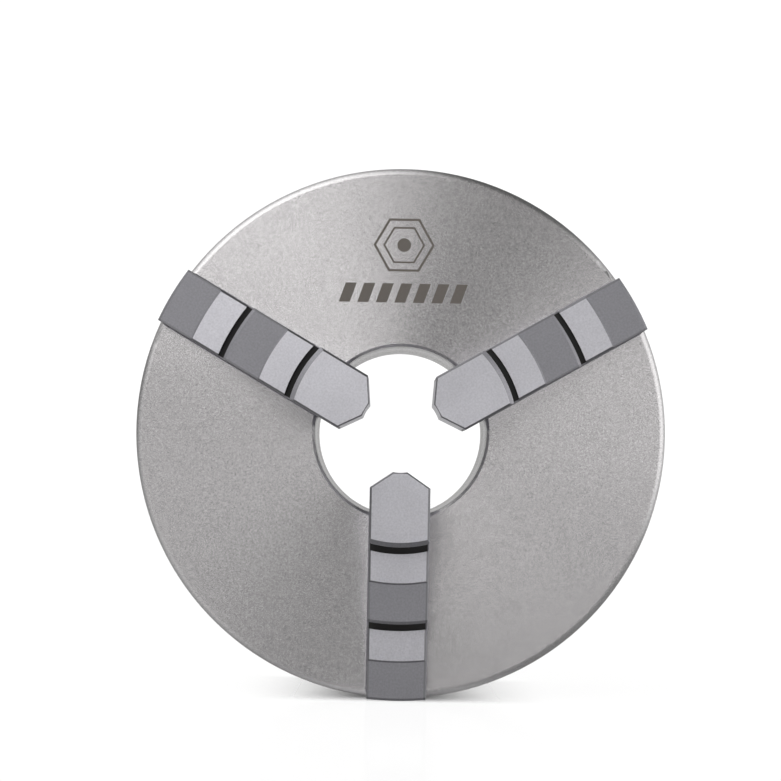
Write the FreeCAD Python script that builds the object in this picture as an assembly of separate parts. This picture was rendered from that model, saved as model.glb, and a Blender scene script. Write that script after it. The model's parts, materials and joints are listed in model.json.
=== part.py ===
"""Three-jaw self-centring scroll chuck for a lathe, 200 mm, short cylindrical rear register.

Every piece is built in the chuck's own frame, with the spindle axis on +Z, the rear mounting
face at Z = 0 and the front face at Z = BODY_THICKNESS. Each finished piece is then turned once
into the row frame: the spindle axis is horizontal, the front looks along -Y, +Z is up, and the
origin is the centre of the rear mounting face.

A key in any drive pinion turns the scroll plate through bevel teeth. The spiral thread on the
front of the scroll plate carries the three jaws in or out together.
"""

import FreeCAD
import Part

import math
import os

V = FreeCAD.Vector

# ---------------------------------------------------------------- driving dimensions, mm
BODY_RADIUS = 100.0
BODY_THICKNESS = 75.0
BORE_RADIUS = 32.5
JAW_WIDTH = 22.0
JAW_RISE = 34.0                 # tallest step above the front face
REGISTER_RADIUS = 82.5          # rear recess that locates on the spindle adaptor
REGISTER_DEPTH = 5.0
BOLT_CIRCLE_RADIUS = 90.0
SCROLL_PITCH = 8.0
GEAR_MODULE = 2.0               # at the large end of the bevel teeth
SCROLL_TEETH = 72
PINION_TEETH = 12
SLIDE_GAP = 0.05                # running clearance on each side of a sliding or turning fit

JAW_ANGLES = (30.0, 150.0, 270.0)
PINION_ANGLES = (90.0, 210.0, 330.0)

# ---------------------------------------------------------------- heights above the rear face
COVER_THICKNESS = 10.0
COVER_FRONT = REGISTER_DEPTH + COVER_THICKNESS
PINION_HEIGHT = 22.0            # height of the pinion axes
THREAD_ROOT = 42.0
THREAD_HEIGHT = 6.5
CAVITY_CEILING = THREAD_ROOT + THREAD_HEIGHT + 0.4
JAW_FOOT_BOTTOM = CAVITY_CEILING + 0.1
JAW_TOOTH_TIP = THREAD_ROOT + 0.5
RAIL_BOTTOM = 57.5
RAIL_TOP = 67.0
JAW_TOP = BODY_THICKNESS + JAW_RISE

# ---------------------------------------------------------------- scroll and its housing
HUB_RADIUS = 42.95
SCROLL_BORE_RADIUS = HUB_RADIUS + 2 * SLIDE_GAP
SCROLL_RADIUS = 78.0
CAVITY_RADIUS = 78.5
COVER_SEAT_RADIUS = 81.0
COVER_BORE_RADIUS = 33.0
BEARING_RING_RADIUS = 56.5      # raised ring of the cover that carries scroll and trunnions
BEARING_RING_TOP = 30.0
SCROLL_BOSS_RADIUS = 57.5
SCROLL_BOSS_BOTTOM = BEARING_RING_TOP + 0.1
SCROLL_BEVEL_RADIUS = 74.0      # outer end of the cone that carries the bevel teeth
RIDGE_THICKNESS = 3.9
RIDGE_START_RADIUS = 46.5
RIDGE_END_RADIUS = 76.0
RIDGE_PHASE = 47.0              # ridge centre radius at angle 0, plus whole pitches

# ---------------------------------------------------------------- bevel gearing
PRESSURE_ANGLE = math.radians(25.0)
GEAR_RADIUS = GEAR_MODULE * SCROLL_TEETH / 2        # large-end radius on the scroll
PINION_PITCH_RADIUS = GEAR_MODULE * PINION_TEETH / 2
ADDENDUM = GEAR_MODULE
DEDENDUM = 1.25 * GEAR_MODULE
TOOTH_THICKNESS = math.pi * GEAR_MODULE / 2 - 0.25  # thinned for backlash
SCROLL_TOOTH_SPAN = (59.0, 72.3)                    # distances of the tooth ends from the axis
PINION_TOOTH_SPAN = (60.0, 71.8)
TOOTH_BURY = 0.4                                    # how far a scroll tooth runs into its cone

# ---------------------------------------------------------------- pinions and their screws
PINION_JOURNAL_RADIUS = 14.0
PINION_JOURNAL_START = 73.5
PINION_OUTER_END = 98.4
PINION_SPOTFACE_RADIUS = 16.5
KEY_SQUARE = 12.0
KEY_DEPTH = 18.0
TRUNNION_RADIUS = 6.0
TRUNNION_START = 50.0
PINION_CORE_RADIUS = 7.5        # solid core under the pinion's teeth
PINION_COLLAR_RADIUS = 8.5      # collar between the teeth and the journal
LOCATING_GROOVE_WIDTH = 5.4
LOCATING_GROOVE_RADIUS = 11.0

# ---------------------------------------------------------------- fasteners
M10_TAP_RADIUS = 4.25
M10_HOLE_DEPTH = 25.0
M8_RADIUS = 4.0
M8_SHOULDER = 7.6               # where the locating screw's thread ends and its dog point starts
M5_RADIUS = 2.5
M5_LENGTH = 16.0
M5_HOLE_DEPTH = 14.0
M5_HEAD_RADIUS = 4.25
M5_HEAD_HEIGHT = 5.0
M6_TAP_RADIUS = 2.5
HEXAGON_KEY = 4.0               # across the flats, for the cover and locating screws
COVER_SCREW_RADIUS = 38.0       # radius of the circle of cover screws and dowels
COVER_SCREW_ANGLES = (0.0, 60.0, 120.0, 180.0, 240.0, 300.0)
DOWEL_ANGLES = (30.0, 210.0)
DOWEL_RADIUS = 2.5
DOWEL_HOLE_DEPTH = 8.0
JACK_HOLE_CIRCLE = 66.0

# ---------------------------------------------------------------- jaw steps, at rest
JAW_TIP_RADIUS = 15.0           # distance of the gripping tip from the axis
JAW_END_RADIUS = BODY_RADIUS
JAW_FOOT_START = 23.0
JAW_TOOTH_MARGINS = (2.6, 2.0)  # from the ends of the foot to the nearest tooth centres
JAW_TOOTH_HALF = 1.8
TIP_FLAT_HALF = 2.65
TIP_WEDGE_LENGTH = 5.7
JAW_NECK_HALF = 7.0
FIRST_WALL_RADIUS = 42.1
FIRST_SEAT = (45.0, 56.3)       # inner and outer radius of the ground seat on the middle step
SECOND_WALL_RADIUS = 70.8
SECOND_SEAT = (74.0, 85.8)
MIDDLE_STEP_TOP = BODY_THICKNESS + 22.0
LOW_STEP_TOP = BODY_THICKNESS + 10.0
LAND_DROP = 0.6                 # the rough lands lie this far below the ground seats
RELIEF_DEPTH = 2.0
EDGE_CHAMFER = 0.8
TIP_CHAMFER = 0.5
GRIP_RADIUS = 14.0              # hollow ground in the tip, so that its two edges grip
GRIP_DEPTH = 0.25


# ---------------------------------------------------------------- helpers
def cylinder(radius, low, high):
    """Cylinder on the spindle axis between two heights."""
    return Part.makeCylinder(radius, high - low, V(0, 0, low))


def box(x0, x1, y0, y1, z0, z1):
    return Part.makeBox(x1 - x0, y1 - y0, z1 - z0, V(x0, y0, z0))


def revolved(points):
    """Solid of revolution about Z from a closed outline of (radius, height) points."""
    corners = [V(r, 0, z) for r, z in points]
    outline = Part.makePolygon(corners + corners[:1])
    return Part.Face(outline).revolve(V(0, 0, 0), V(0, 0, 1), 360)


def turned(shape, angle):
    """A copy turned about the spindle axis."""
    copy = shape.copy()
    copy.rotate(V(0, 0, 0), V(0, 0, 1), angle)
    return copy


def radial_cylinder(radius, start, end, height):
    """Cylinder along +X between two distances from the spindle axis."""
    return Part.makeCylinder(radius, end - start, V(start, 0, height), V(1, 0, 0))


def prism(points, low, high):
    """Upright prism over a closed outline of (x, y) points."""
    corners = [V(x, y, low) for x, y in points]
    outline = Part.makePolygon(corners + corners[:1])
    return Part.Face(outline).extrude(V(0, 0, high - low))


def hexagon(across_flats, low, high):
    """Hexagonal prism on the Z axis, for a hexagon socket."""
    radius = across_flats / math.sqrt(3)
    corners = [(radius * math.cos(math.radians(60 * k)), radius * math.sin(math.radians(60 * k)))
               for k in range(6)]
    return prism(corners, low, high)


def save(name, shape):
    """Turns a finished piece into the row frame and writes it."""
    piece = shape.removeSplitter()
    piece.rotate(V(0, 0, 0), V(1, 0, 0), 90)
    solids = piece.Solids
    piece = solids[0] if len(solids) == 1 else Part.makeCompound(solids)
    print("%-26s solids %d valid %s volume %.1f mm3"
          % (name, len(solids), piece.isValid(), piece.Volume))
    piece.exportStep(os.path.join("parts", name + ".step"))


# ---------------------------------------------------------------- chuck body
def make_body():
    edge = 2.5                  # rounding of the front rim
    rear = 1.2
    mouth = 0.5
    bore_chamfer = 1.0
    corners = [
        V(REGISTER_RADIUS, 0, 0),
        V(BODY_RADIUS - rear, 0, 0),
        V(BODY_RADIUS, 0, rear),
        V(BODY_RADIUS, 0, BODY_THICKNESS - edge),
    ]
    lines = [Part.LineSegment(a, b).toShape() for a, b in zip(corners, corners[1:])]
    rim_end = V(BODY_RADIUS - edge, 0, BODY_THICKNESS)
    half = edge * math.sqrt(0.5)
    rim_middle = V(BODY_RADIUS - edge + half, 0, BODY_THICKNESS - edge + half)
    lines.append(Part.Arc(corners[-1], rim_middle, rim_end).toShape())
    inner = [
        rim_end,
        V(BORE_RADIUS + bore_chamfer, 0, BODY_THICKNESS),
        V(BORE_RADIUS, 0, BODY_THICKNESS - bore_chamfer),
        V(BORE_RADIUS, 0, COVER_FRONT + mouth),
        V(BORE_RADIUS + mouth, 0, COVER_FRONT),
        V(HUB_RADIUS - mouth, 0, COVER_FRONT),
        V(HUB_RADIUS, 0, COVER_FRONT + mouth),
        V(HUB_RADIUS, 0, CAVITY_CEILING),
        V(CAVITY_RADIUS, 0, CAVITY_CEILING),
        V(CAVITY_RADIUS, 0, COVER_FRONT),
        V(COVER_SEAT_RADIUS, 0, COVER_FRONT),
        V(COVER_SEAT_RADIUS, 0, REGISTER_DEPTH),
        V(REGISTER_RADIUS, 0, REGISTER_DEPTH),
        corners[0],
    ]
    lines += [Part.LineSegment(a, b).toShape() for a, b in zip(inner, inner[1:])]
    body = Part.Face(Part.Wire(lines)).revolve(V(0, 0, 0), V(0, 0, 1), 360)
    cuts = []
    for angle in JAW_ANGLES:
        cuts.append(turned(jaw_slot(), angle))
        cuts.append(turned(mounting_hole(), angle))
    for angle in PINION_ANGLES:
        cuts.append(turned(pinion_bore(), angle))
    for angle in COVER_SCREW_ANGLES:
        cuts.append(turned(hub_hole(M5_RADIUS, M5_HOLE_DEPTH), angle))
    for angle in DOWEL_ANGLES:
        cuts.append(turned(hub_hole(DOWEL_RADIUS, DOWEL_HOLE_DEPTH), angle))
    return body.cut(cuts)


def jaw_slot():
    """Slot along +X: a neck at the face, two rails, and a wide foot open to the scroll."""
    start = BORE_RADIUS - 12.0
    end = BODY_RADIUS + 5.0
    half = JAW_WIDTH / 2 + SLIDE_GAP
    neck = JAW_NECK_HALF + SLIDE_GAP
    lip = 0.4
    foot = box(start, end, -half, half, THREAD_ROOT, RAIL_BOTTOM)
    rails = box(start, end, -neck, neck, RAIL_BOTTOM, RAIL_TOP)
    face = box(start, end, -half, half, RAIL_TOP, BODY_THICKNESS + 1.0)
    section = [(-half - lip - 1.0, BODY_THICKNESS + 1.0), (half + lip + 1.0, BODY_THICKNESS + 1.0),
               (half, BODY_THICKNESS - lip), (-half, BODY_THICKNESS - lip)]
    corners = [V(start, y, z) for y, z in section]
    mouth = Part.Face(Part.makePolygon(corners + corners[:1])).extrude(V(end - start, 0, 0))
    return foot.fuse([rails, face, mouth])


def mounting_hole():
    """M10 tapped hole in the rear face, with its countersink and drill point."""
    sink = 1.0
    centre = V(BOLT_CIRCLE_RADIUS, 0, 0)
    hole = Part.makeCylinder(M10_TAP_RADIUS, M10_HOLE_DEPTH + 1.0, centre - V(0, 0, 1.0))
    mouth = Part.makeCone(M10_TAP_RADIUS + sink, M10_TAP_RADIUS, sink, centre)
    point = Part.makeCone(M10_TAP_RADIUS, 0, 0.6 * M10_TAP_RADIUS, centre + V(0, 0, M10_HOLE_DEPTH))
    return hole.fuse([mouth, point])


def pinion_bore():
    """Radial bore for a pinion, its spotface on the rim, and the hole of its locating screw."""
    outside = BODY_RADIUS + 1.0
    sink_depth = 0.6
    bore = radial_cylinder(PINION_JOURNAL_RADIUS + SLIDE_GAP, CAVITY_RADIUS - 3.0, outside,
                           PINION_HEIGHT)
    spot = radial_cylinder(PINION_SPOTFACE_RADIUS, PINION_OUTER_END + 0.2, outside, PINION_HEIGHT)
    screw = Part.makeCylinder(M8_RADIUS, PINION_HEIGHT - LOCATING_GROOVE_RADIUS + 2.0,
                              V(BOLT_CIRCLE_RADIUS, 0, -1.0))
    sink = Part.makeCone(M8_RADIUS + sink_depth, M8_RADIUS, sink_depth,
                         V(BOLT_CIRCLE_RADIUS, 0, 0))
    return bore.fuse([spot, screw, sink])


def hub_hole(radius, depth):
    """Blind hole in the rear end of the hub, on the circle of the cover screws."""
    return Part.makeCylinder(radius, depth + 1.0, V(COVER_SCREW_RADIUS, 0, COVER_FRONT - 1.0))


# ---------------------------------------------------------------- back cover
def make_cover():
    """Plate behind the scroll, with the raised ring that carries scroll and trunnions."""
    edge = 0.5
    bore = SCROLL_BORE_RADIUS
    cover = revolved([
        (COVER_BORE_RADIUS + edge, REGISTER_DEPTH),
        (COVER_SEAT_RADIUS - SLIDE_GAP - edge, REGISTER_DEPTH),
        (COVER_SEAT_RADIUS - SLIDE_GAP, REGISTER_DEPTH + edge),
        (COVER_SEAT_RADIUS - SLIDE_GAP, COVER_FRONT),
        (BEARING_RING_RADIUS, COVER_FRONT),
        (BEARING_RING_RADIUS, BEARING_RING_TOP - edge),
        (BEARING_RING_RADIUS - edge, BEARING_RING_TOP),
        (bore + edge, BEARING_RING_TOP),
        (bore, BEARING_RING_TOP - edge),
        (bore, COVER_FRONT),
        (COVER_BORE_RADIUS, COVER_FRONT),
        (COVER_BORE_RADIUS, REGISTER_DEPTH + edge),
    ])
    cuts = []
    for angle in PINION_ANGLES:
        pocket = radial_cylinder(PINION_JOURNAL_RADIUS + 0.5, BEARING_RING_RADIUS,
                                 COVER_SEAT_RADIUS + 1.0, PINION_HEIGHT)
        trunnion = radial_cylinder(TRUNNION_RADIUS + SLIDE_GAP, TRUNNION_START - 0.5,
                                   BEARING_RING_RADIUS + 1.0, PINION_HEIGHT)
        cuts += [turned(pocket, angle), turned(trunnion, angle)]
    low = REGISTER_DEPTH - 1.0
    jack_sink = 0.6
    head_room = REGISTER_DEPTH + M5_HEAD_HEIGHT + 0.3
    for angle in COVER_SCREW_ANGLES:
        centre = V(COVER_SCREW_RADIUS, 0, low)
        shank = Part.makeCylinder(M5_RADIUS + 0.25, COVER_FRONT - low + 1.0, centre)
        head = Part.makeCylinder(M5_HEAD_RADIUS + 0.25, head_room - low, centre)
        cuts += [turned(shank, angle), turned(head, angle)]
    for angle in DOWEL_ANGLES:
        hole = Part.makeCylinder(DOWEL_RADIUS, COVER_FRONT - low + 1.0,
                                 V(COVER_SCREW_RADIUS, 0, low))
        cuts.append(turned(hole, angle))
    for angle in JAW_ANGLES:
        centre = V(JACK_HOLE_CIRCLE, 0, low)
        jack = Part.makeCylinder(M6_TAP_RADIUS, COVER_FRONT - low + 1.0, centre)
        sink = Part.makeCone(M6_TAP_RADIUS + jack_sink, M6_TAP_RADIUS, jack_sink,
                             V(JACK_HOLE_CIRCLE, 0, REGISTER_DEPTH))
        cuts += [turned(jack, angle), turned(sink, angle)]
    return cover.cut(cuts)


def cover_screw():
    """M5 socket head cap screw, head down in its counterbore, at angle 0."""
    head_low = REGISTER_DEPTH + 0.3
    head_top = head_low + M5_HEAD_HEIGHT
    end = head_top + M5_LENGTH
    radius = M5_RADIUS - SLIDE_GAP
    edge = 0.4
    socket_depth = 2.5
    screw = revolved([
        (0, head_low), (M5_HEAD_RADIUS - edge, head_low), (M5_HEAD_RADIUS, head_low + edge),
        (M5_HEAD_RADIUS, head_top), (radius, head_top), (radius, end - edge),
        (radius - edge, end), (0, end)])
    screw = screw.cut(hexagon(HEXAGON_KEY, head_low - 1.0, head_low + socket_depth))
    screw.translate(V(COVER_SCREW_RADIUS, 0, 0))
    return screw


def cover_dowel():
    """Dowel that keeps the cover's trunnion bores in line with the pinion bores."""
    edge = 0.4
    radius = DOWEL_RADIUS - 0.01
    low = REGISTER_DEPTH + 0.2
    high = COVER_FRONT + DOWEL_HOLE_DEPTH - 0.5
    dowel = revolved([(0, low), (radius - edge, low), (radius, low + edge), (radius, high - edge),
                      (radius - edge, high), (0, high)])
    dowel.translate(V(COVER_SCREW_RADIUS, 0, 0))
    return dowel


def locating_screw():
    """M8 screw with a dog point that sits in the pinion's groove, at angle 0."""
    radius = M8_RADIUS - SLIDE_GAP
    dog_radius = LOCATING_GROOVE_WIDTH / 2 - 0.1
    dog_end = PINION_HEIGHT - LOCATING_GROOVE_RADIUS - 0.3
    low = 0.4
    edge = 0.4
    socket_depth = 4.0
    screw = revolved([(0, low), (radius - edge, low), (radius, low + edge), (radius, M8_SHOULDER),
                      (dog_radius, M8_SHOULDER), (dog_radius, dog_end), (0, dog_end)])
    screw = screw.cut(hexagon(HEXAGON_KEY, low - 1.0, low + socket_depth))
    screw.translate(V(BOLT_CIRCLE_RADIUS, 0, 0))
    return screw


# ---------------------------------------------------------------- scroll plate
def ridge_radius(angle):
    """Centre radius of the spiral ridge at an angle in degrees; it grows by one pitch a turn."""
    return RIDGE_PHASE + SCROLL_PITCH * angle / 360.0


def spiral_point(angle, offset):
    r = ridge_radius(angle) + offset
    a = math.radians(angle)
    return V(r * math.cos(a), r * math.sin(a), THREAD_ROOT - 0.5)


def spiral_edges(offset, first, last):
    """The spiral as one arc for each 30 degrees or less."""
    count = math.ceil((last - first) / 30.0)
    step = (last - first) / count
    edges = []
    for k in range(count):
        a = first + k * step
        b = a + step
        arc = Part.Arc(spiral_point(a, offset), spiral_point((a + b) / 2, offset),
                       spiral_point(b, offset))
        edges.append(arc.toShape())
    return edges


def scroll_thread():
    """The spiral ridge that meshes with the jaw teeth, from near the hub to the rim."""
    first = (RIDGE_START_RADIUS - RIDGE_PHASE) * 360.0 / SCROLL_PITCH
    last = (RIDGE_END_RADIUS - RIDGE_PHASE) * 360.0 / SCROLL_PITCH
    half = RIDGE_THICKNESS / 2
    inner = spiral_edges(-half, first, last)
    outer = spiral_edges(half, first, last)
    cap = Part.LineSegment(spiral_point(last, -half), spiral_point(last, half)).toShape()
    start = Part.LineSegment(spiral_point(first, half), spiral_point(first, -half)).toShape()
    wire = Part.Wire(Part.__sortEdges__(inner + [cap] + outer + [start]))
    return Part.Face(wire).extrude(V(0, 0, THREAD_HEIGHT + 0.5))


def bevel_section(x, half_tip, half_root, tip, root):
    """Section of one scroll tooth at distance x, drawn towards the gear's apex."""
    s = x / GEAR_RADIUS
    points = [(-half_root * s, root * s), (-half_tip * s, tip * s),
              (half_tip * s, tip * s), (half_root * s, root * s)]
    corners = [V(x, y, PINION_HEIGHT + z) for y, z in points]
    return Part.makePolygon(corners + corners[:1])


def scroll_tooth():
    """One straight bevel tooth on the back of the scroll, at angle 0."""
    slope = math.tan(PRESSURE_ANGLE)
    depth = DEDENDUM + TOOTH_BURY
    root = PINION_PITCH_RADIUS + depth
    tip = PINION_PITCH_RADIUS - ADDENDUM
    half_tip = TOOTH_THICKNESS / 2 - ADDENDUM * slope
    half_root = TOOTH_THICKNESS / 2 + depth * slope
    ends = [bevel_section(x, half_tip, half_root, tip, root) for x in SCROLL_TOOTH_SPAN]
    return Part.makeLoft(ends, True, True)


def make_scroll():
    """Scroll plate: bearing boss, root cone with bevel teeth behind, spiral thread in front."""
    root_slope = (PINION_PITCH_RADIUS + DEDENDUM) / GEAR_RADIUS
    cone_inner = PINION_HEIGHT + SCROLL_BOSS_RADIUS * root_slope
    cone_outer = PINION_HEIGHT + SCROLL_BEVEL_RADIUS * root_slope
    bottom = SCROLL_BOSS_BOTTOM
    edge = 0.5
    blank = revolved([
        (SCROLL_BORE_RADIUS + edge, bottom),
        (SCROLL_BOSS_RADIUS - edge, bottom),
        (SCROLL_BOSS_RADIUS, bottom + edge),
        (SCROLL_BOSS_RADIUS, cone_inner),
        (SCROLL_BEVEL_RADIUS, cone_outer),
        (SCROLL_RADIUS - edge, cone_outer),
        (SCROLL_RADIUS, cone_outer + edge),
        (SCROLL_RADIUS, THREAD_ROOT),
        (SCROLL_BORE_RADIUS, THREAD_ROOT),
        (SCROLL_BORE_RADIUS, bottom + edge),
    ])
    tooth = scroll_tooth()
    teeth = [turned(tooth, 360.0 * k / SCROLL_TEETH) for k in range(SCROLL_TEETH)]
    return blank.fuse([scroll_thread()] + teeth)


# ---------------------------------------------------------------- drive pinion
def involute_half(radius, base_radius, half_pitch_angle):
    """Half angle of a tooth at a radius, from its half angle at the pitch circle."""
    def inv(r):
        cosine = min(1.0, base_radius / r)
        a = math.acos(cosine)
        return math.tan(a) - a
    return half_pitch_angle + inv(PINION_PITCH_RADIUS) - inv(radius)


def pinion_outline(x):
    """Section of the pinion's teeth at distance x from the apex, as a closed polygon."""
    s = x / GEAR_RADIUS
    base = PINION_PITCH_RADIUS * math.cos(PRESSURE_ANGLE)
    tip = PINION_PITCH_RADIUS + ADDENDUM - 0.05
    root = PINION_PITCH_RADIUS - DEDENDUM
    half_pitch_angle = TOOTH_THICKNESS / 2 / PINION_PITCH_RADIUS
    radii = [root, base, (base + PINION_PITCH_RADIUS) / 2, PINION_PITCH_RADIUS,
             (PINION_PITCH_RADIUS + tip) / 2, tip]
    halves = [involute_half(max(r, base), base, half_pitch_angle) for r in radii]
    corners = []
    for k in range(PINION_TEETH):
        centre = 2 * math.pi * (k + 0.5) / PINION_TEETH
        flank = [(r, centre - h) for r, h in zip(radii, halves)]
        flank += [(r, centre + h) for r, h in zip(reversed(radii), reversed(halves))]
        for r, a in flank:
            corners.append(V(x, r * s * math.sin(a), PINION_HEIGHT + r * s * math.cos(a)))
    return Part.makePolygon(corners + corners[:1])


def make_pinion():
    """Bevel pinion along +X: inner trunnion, teeth, journal, locating groove, key socket."""
    gear_start, gear_end = PINION_TOOTH_SPAN
    collar_start = gear_end - 0.1
    start = TRUNNION_START
    end = PINION_OUTER_END
    edge = 1.0
    ease = 0.5
    groove_low = BOLT_CIRCLE_RADIUS - LOCATING_GROOVE_WIDTH / 2
    groove_high = BOLT_CIRCLE_RADIUS + LOCATING_GROOVE_WIDTH / 2
    profile = [
        (0, start),
        (TRUNNION_RADIUS - edge, start),
        (TRUNNION_RADIUS, start + edge),
        (TRUNNION_RADIUS, gear_start),
        (PINION_CORE_RADIUS, gear_start),
        (PINION_CORE_RADIUS, collar_start),
        (PINION_COLLAR_RADIUS, collar_start),
        (PINION_COLLAR_RADIUS, PINION_JOURNAL_START),
        (PINION_JOURNAL_RADIUS - ease, PINION_JOURNAL_START),
        (PINION_JOURNAL_RADIUS, PINION_JOURNAL_START + ease),
        (PINION_JOURNAL_RADIUS, groove_low),
        (LOCATING_GROOVE_RADIUS, groove_low),
        (LOCATING_GROOVE_RADIUS, groove_high),
        (PINION_JOURNAL_RADIUS, groove_high),
        (PINION_JOURNAL_RADIUS, end - edge),
        (PINION_JOURNAL_RADIUS - edge, end),
        (0, end),
    ]
    shank = revolved(profile)
    shank.rotate(V(0, 0, 0), V(0, 1, 0), 90)
    shank.translate(V(0, 0, PINION_HEIGHT))
    gear = Part.makeLoft([pinion_outline(gear_start), pinion_outline(gear_end)], True, True)
    socket = key_socket(end)
    return shank.fuse(gear).cut(socket)


def key_socket(end):
    """Square socket with eased corners, a drilled well below it and a lead-in chamfer."""
    half = KEY_SQUARE / 2
    ease = 0.8
    lead = 0.8
    square = [(half, half - ease), (half - ease, half), (ease - half, half), (-half, half - ease),
              (-half, ease - half), (ease - half, -half), (half - ease, -half), (half, ease - half)]

    def outline(x, grow):
        corners = [V(x, y * grow, PINION_HEIGHT + z * grow) for y, z in square]
        return Part.makePolygon(corners + corners[:1])

    start = end - KEY_DEPTH
    hole = Part.makeLoft([outline(start, 1.0), outline(end + 1.0, 1.0)], True, True)
    mouth = Part.makeLoft([outline(end - lead, 1.0), outline(end + 0.01, 1.0 + lead / half)],
                          True, True)
    well = radial_cylinder(half - 0.8, start - 2.0, start + 1.0, PINION_HEIGHT)
    return hole.fuse([mouth, well])


# ---------------------------------------------------------------- jaws
def jaw_steps():
    """The stepped block as a turned profile: walls, relief grooves, ground seats and lands."""
    bottom = RAIL_TOP + SLIDE_GAP
    middle_land = MIDDLE_STEP_TOP - LAND_DROP
    low_land = LOW_STEP_TOP - LAND_DROP
    slope = 0.7
    return revolved([
        (1.0, bottom),
        (1.0, JAW_TOP),
        (FIRST_WALL_RADIUS - 1.7, JAW_TOP),
        (FIRST_WALL_RADIUS, JAW_TOP - 1.2),
        (FIRST_WALL_RADIUS, MIDDLE_STEP_TOP - RELIEF_DEPTH),
        (FIRST_SEAT[0], MIDDLE_STEP_TOP - RELIEF_DEPTH),
        (FIRST_SEAT[0], MIDDLE_STEP_TOP),
        (FIRST_SEAT[1] - slope, MIDDLE_STEP_TOP),
        (FIRST_SEAT[1], middle_land),
        (SECOND_WALL_RADIUS - 1.1, middle_land),
        (SECOND_WALL_RADIUS, middle_land - 0.9),
        (SECOND_WALL_RADIUS, LOW_STEP_TOP - RELIEF_DEPTH),
        (SECOND_SEAT[0], LOW_STEP_TOP - RELIEF_DEPTH),
        (SECOND_SEAT[0], LOW_STEP_TOP),
        (SECOND_SEAT[1] - slope, LOW_STEP_TOP),
        (SECOND_SEAT[1], low_land),
        (JAW_END_RADIUS - 1.0, low_land),
        (JAW_END_RADIUS, low_land - 1.0),
        (JAW_END_RADIUS, bottom),
    ])


def edge_wedge(start, end, top, size):
    """Triangular prism that takes the top edge off between two plan points.

    The material is on the left of the line from start to end."""
    along = V(end[0] - start[0], end[1] - start[1], 0)
    out = V(along.y, -along.x, 0).normalize()
    foot = V(start[0], start[1], 0)
    corners = [foot + out + V(0, 0, top - size - 1.0),
               foot + out + V(0, 0, top + 1.0),
               foot - out * (size + 1.0) + V(0, 0, top + 1.0)]
    return Part.Face(Part.makePolygon(corners + corners[:1])).extrude(along)


def jaw_outline():
    """Plan outline of the jaw, anticlockwise: tip flat, wedge faces, then parallel sides."""
    half = JAW_WIDTH / 2
    shoulder = JAW_TIP_RADIUS + TIP_WEDGE_LENGTH
    end = JAW_END_RADIUS + 5.0
    return [(JAW_TIP_RADIUS, TIP_FLAT_HALF), (JAW_TIP_RADIUS, -TIP_FLAT_HALF), (shoulder, -half),
            (end, -half), (end, half), (shoulder, half)]


def jaw_edge_wedges():
    """Cutters for the chamfers along the top edges of the tip and of the three steps."""
    tip = jaw_outline()
    half = JAW_WIDTH / 2
    end = JAW_END_RADIUS + 5.0
    wedges = [edge_wedge(tip[0], tip[1], JAW_TOP, TIP_CHAMFER),
              edge_wedge(tip[1], tip[2], JAW_TOP, TIP_CHAMFER),
              edge_wedge(tip[5], tip[0], JAW_TOP, TIP_CHAMFER)]
    steps = [(0.0, JAW_TOP), (FIRST_WALL_RADIUS + 0.3, MIDDLE_STEP_TOP),
             (SECOND_WALL_RADIUS + 0.6, LOW_STEP_TOP)]
    for start, top in steps:
        wedges.append(edge_wedge((start, -half), (end, -half), top, EDGE_CHAMFER))
        wedges.append(edge_wedge((end, half), (start, half), top, EDGE_CHAMFER))
    return wedges


def jaw_tooth(radius):
    """One crescent tooth: its two faces follow the spiral's slope at the jaw's centre line."""
    outer_radius = 47.0
    inner_radius = 76.0
    mean_radius = 61.0
    half_width = JAW_WIDTH / 2 - 0.2
    tilt = SCROLL_PITCH / (2 * math.pi) / mean_radius
    low = JAW_TOOTH_TIP
    height = JAW_FOOT_BOTTOM + 0.5 - low

    def centre(face, curve):
        return V(face - curve * math.cos(tilt), curve * math.sin(tilt), low)

    block = box(radius - 6.0, radius + 6.0, -half_width, half_width, low, low + height)
    outer = Part.makeCylinder(outer_radius, height, centre(radius + JAW_TOOTH_HALF, outer_radius))
    inner = Part.makeCylinder(inner_radius, height, centre(radius - JAW_TOOTH_HALF, inner_radius))
    return block.common(outer).cut(inner)


def tooth_radii(angle):
    """Radii of the spiral groove at a jaw's angle that lie under the jaw's foot at rest."""
    first = (ridge_radius(angle) + SCROLL_PITCH / 2) % SCROLL_PITCH
    radii = [first + k * SCROLL_PITCH for k in range(int(JAW_END_RADIUS / SCROLL_PITCH) + 1)]
    low = JAW_FOOT_START + JAW_TOOTH_MARGINS[0]
    high = JAW_END_RADIUS - JAW_TOOTH_MARGINS[1]
    return [r for r in radii if low < r < high]


def make_jaw(angle):
    half = JAW_WIDTH / 2
    reach = cylinder(JAW_END_RADIUS, 0, JAW_TOP)
    upper = jaw_steps().common(prism(jaw_outline(), RAIL_TOP, JAW_TOP + 1.0))
    hollow = V(JAW_TIP_RADIUS + GRIP_DEPTH - GRIP_RADIUS, 0, 0)
    grip = Part.makeCylinder(GRIP_RADIUS, JAW_TOP, hollow)
    upper = upper.cut(jaw_edge_wedges() + [grip])
    end = JAW_END_RADIUS + 1.0
    neck = box(JAW_FOOT_START, end, -JAW_NECK_HALF, JAW_NECK_HALF,
               RAIL_BOTTOM - SLIDE_GAP - 0.1, RAIL_TOP + SLIDE_GAP + 0.1)
    foot = box(JAW_FOOT_START, end, -half, half, JAW_FOOT_BOTTOM, RAIL_BOTTOM - SLIDE_GAP)
    base = neck.fuse(foot).common(reach)
    teeth = [jaw_tooth(r) for r in tooth_radii(angle)]
    return turned(upper.fuse([base] + teeth), angle)


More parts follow.
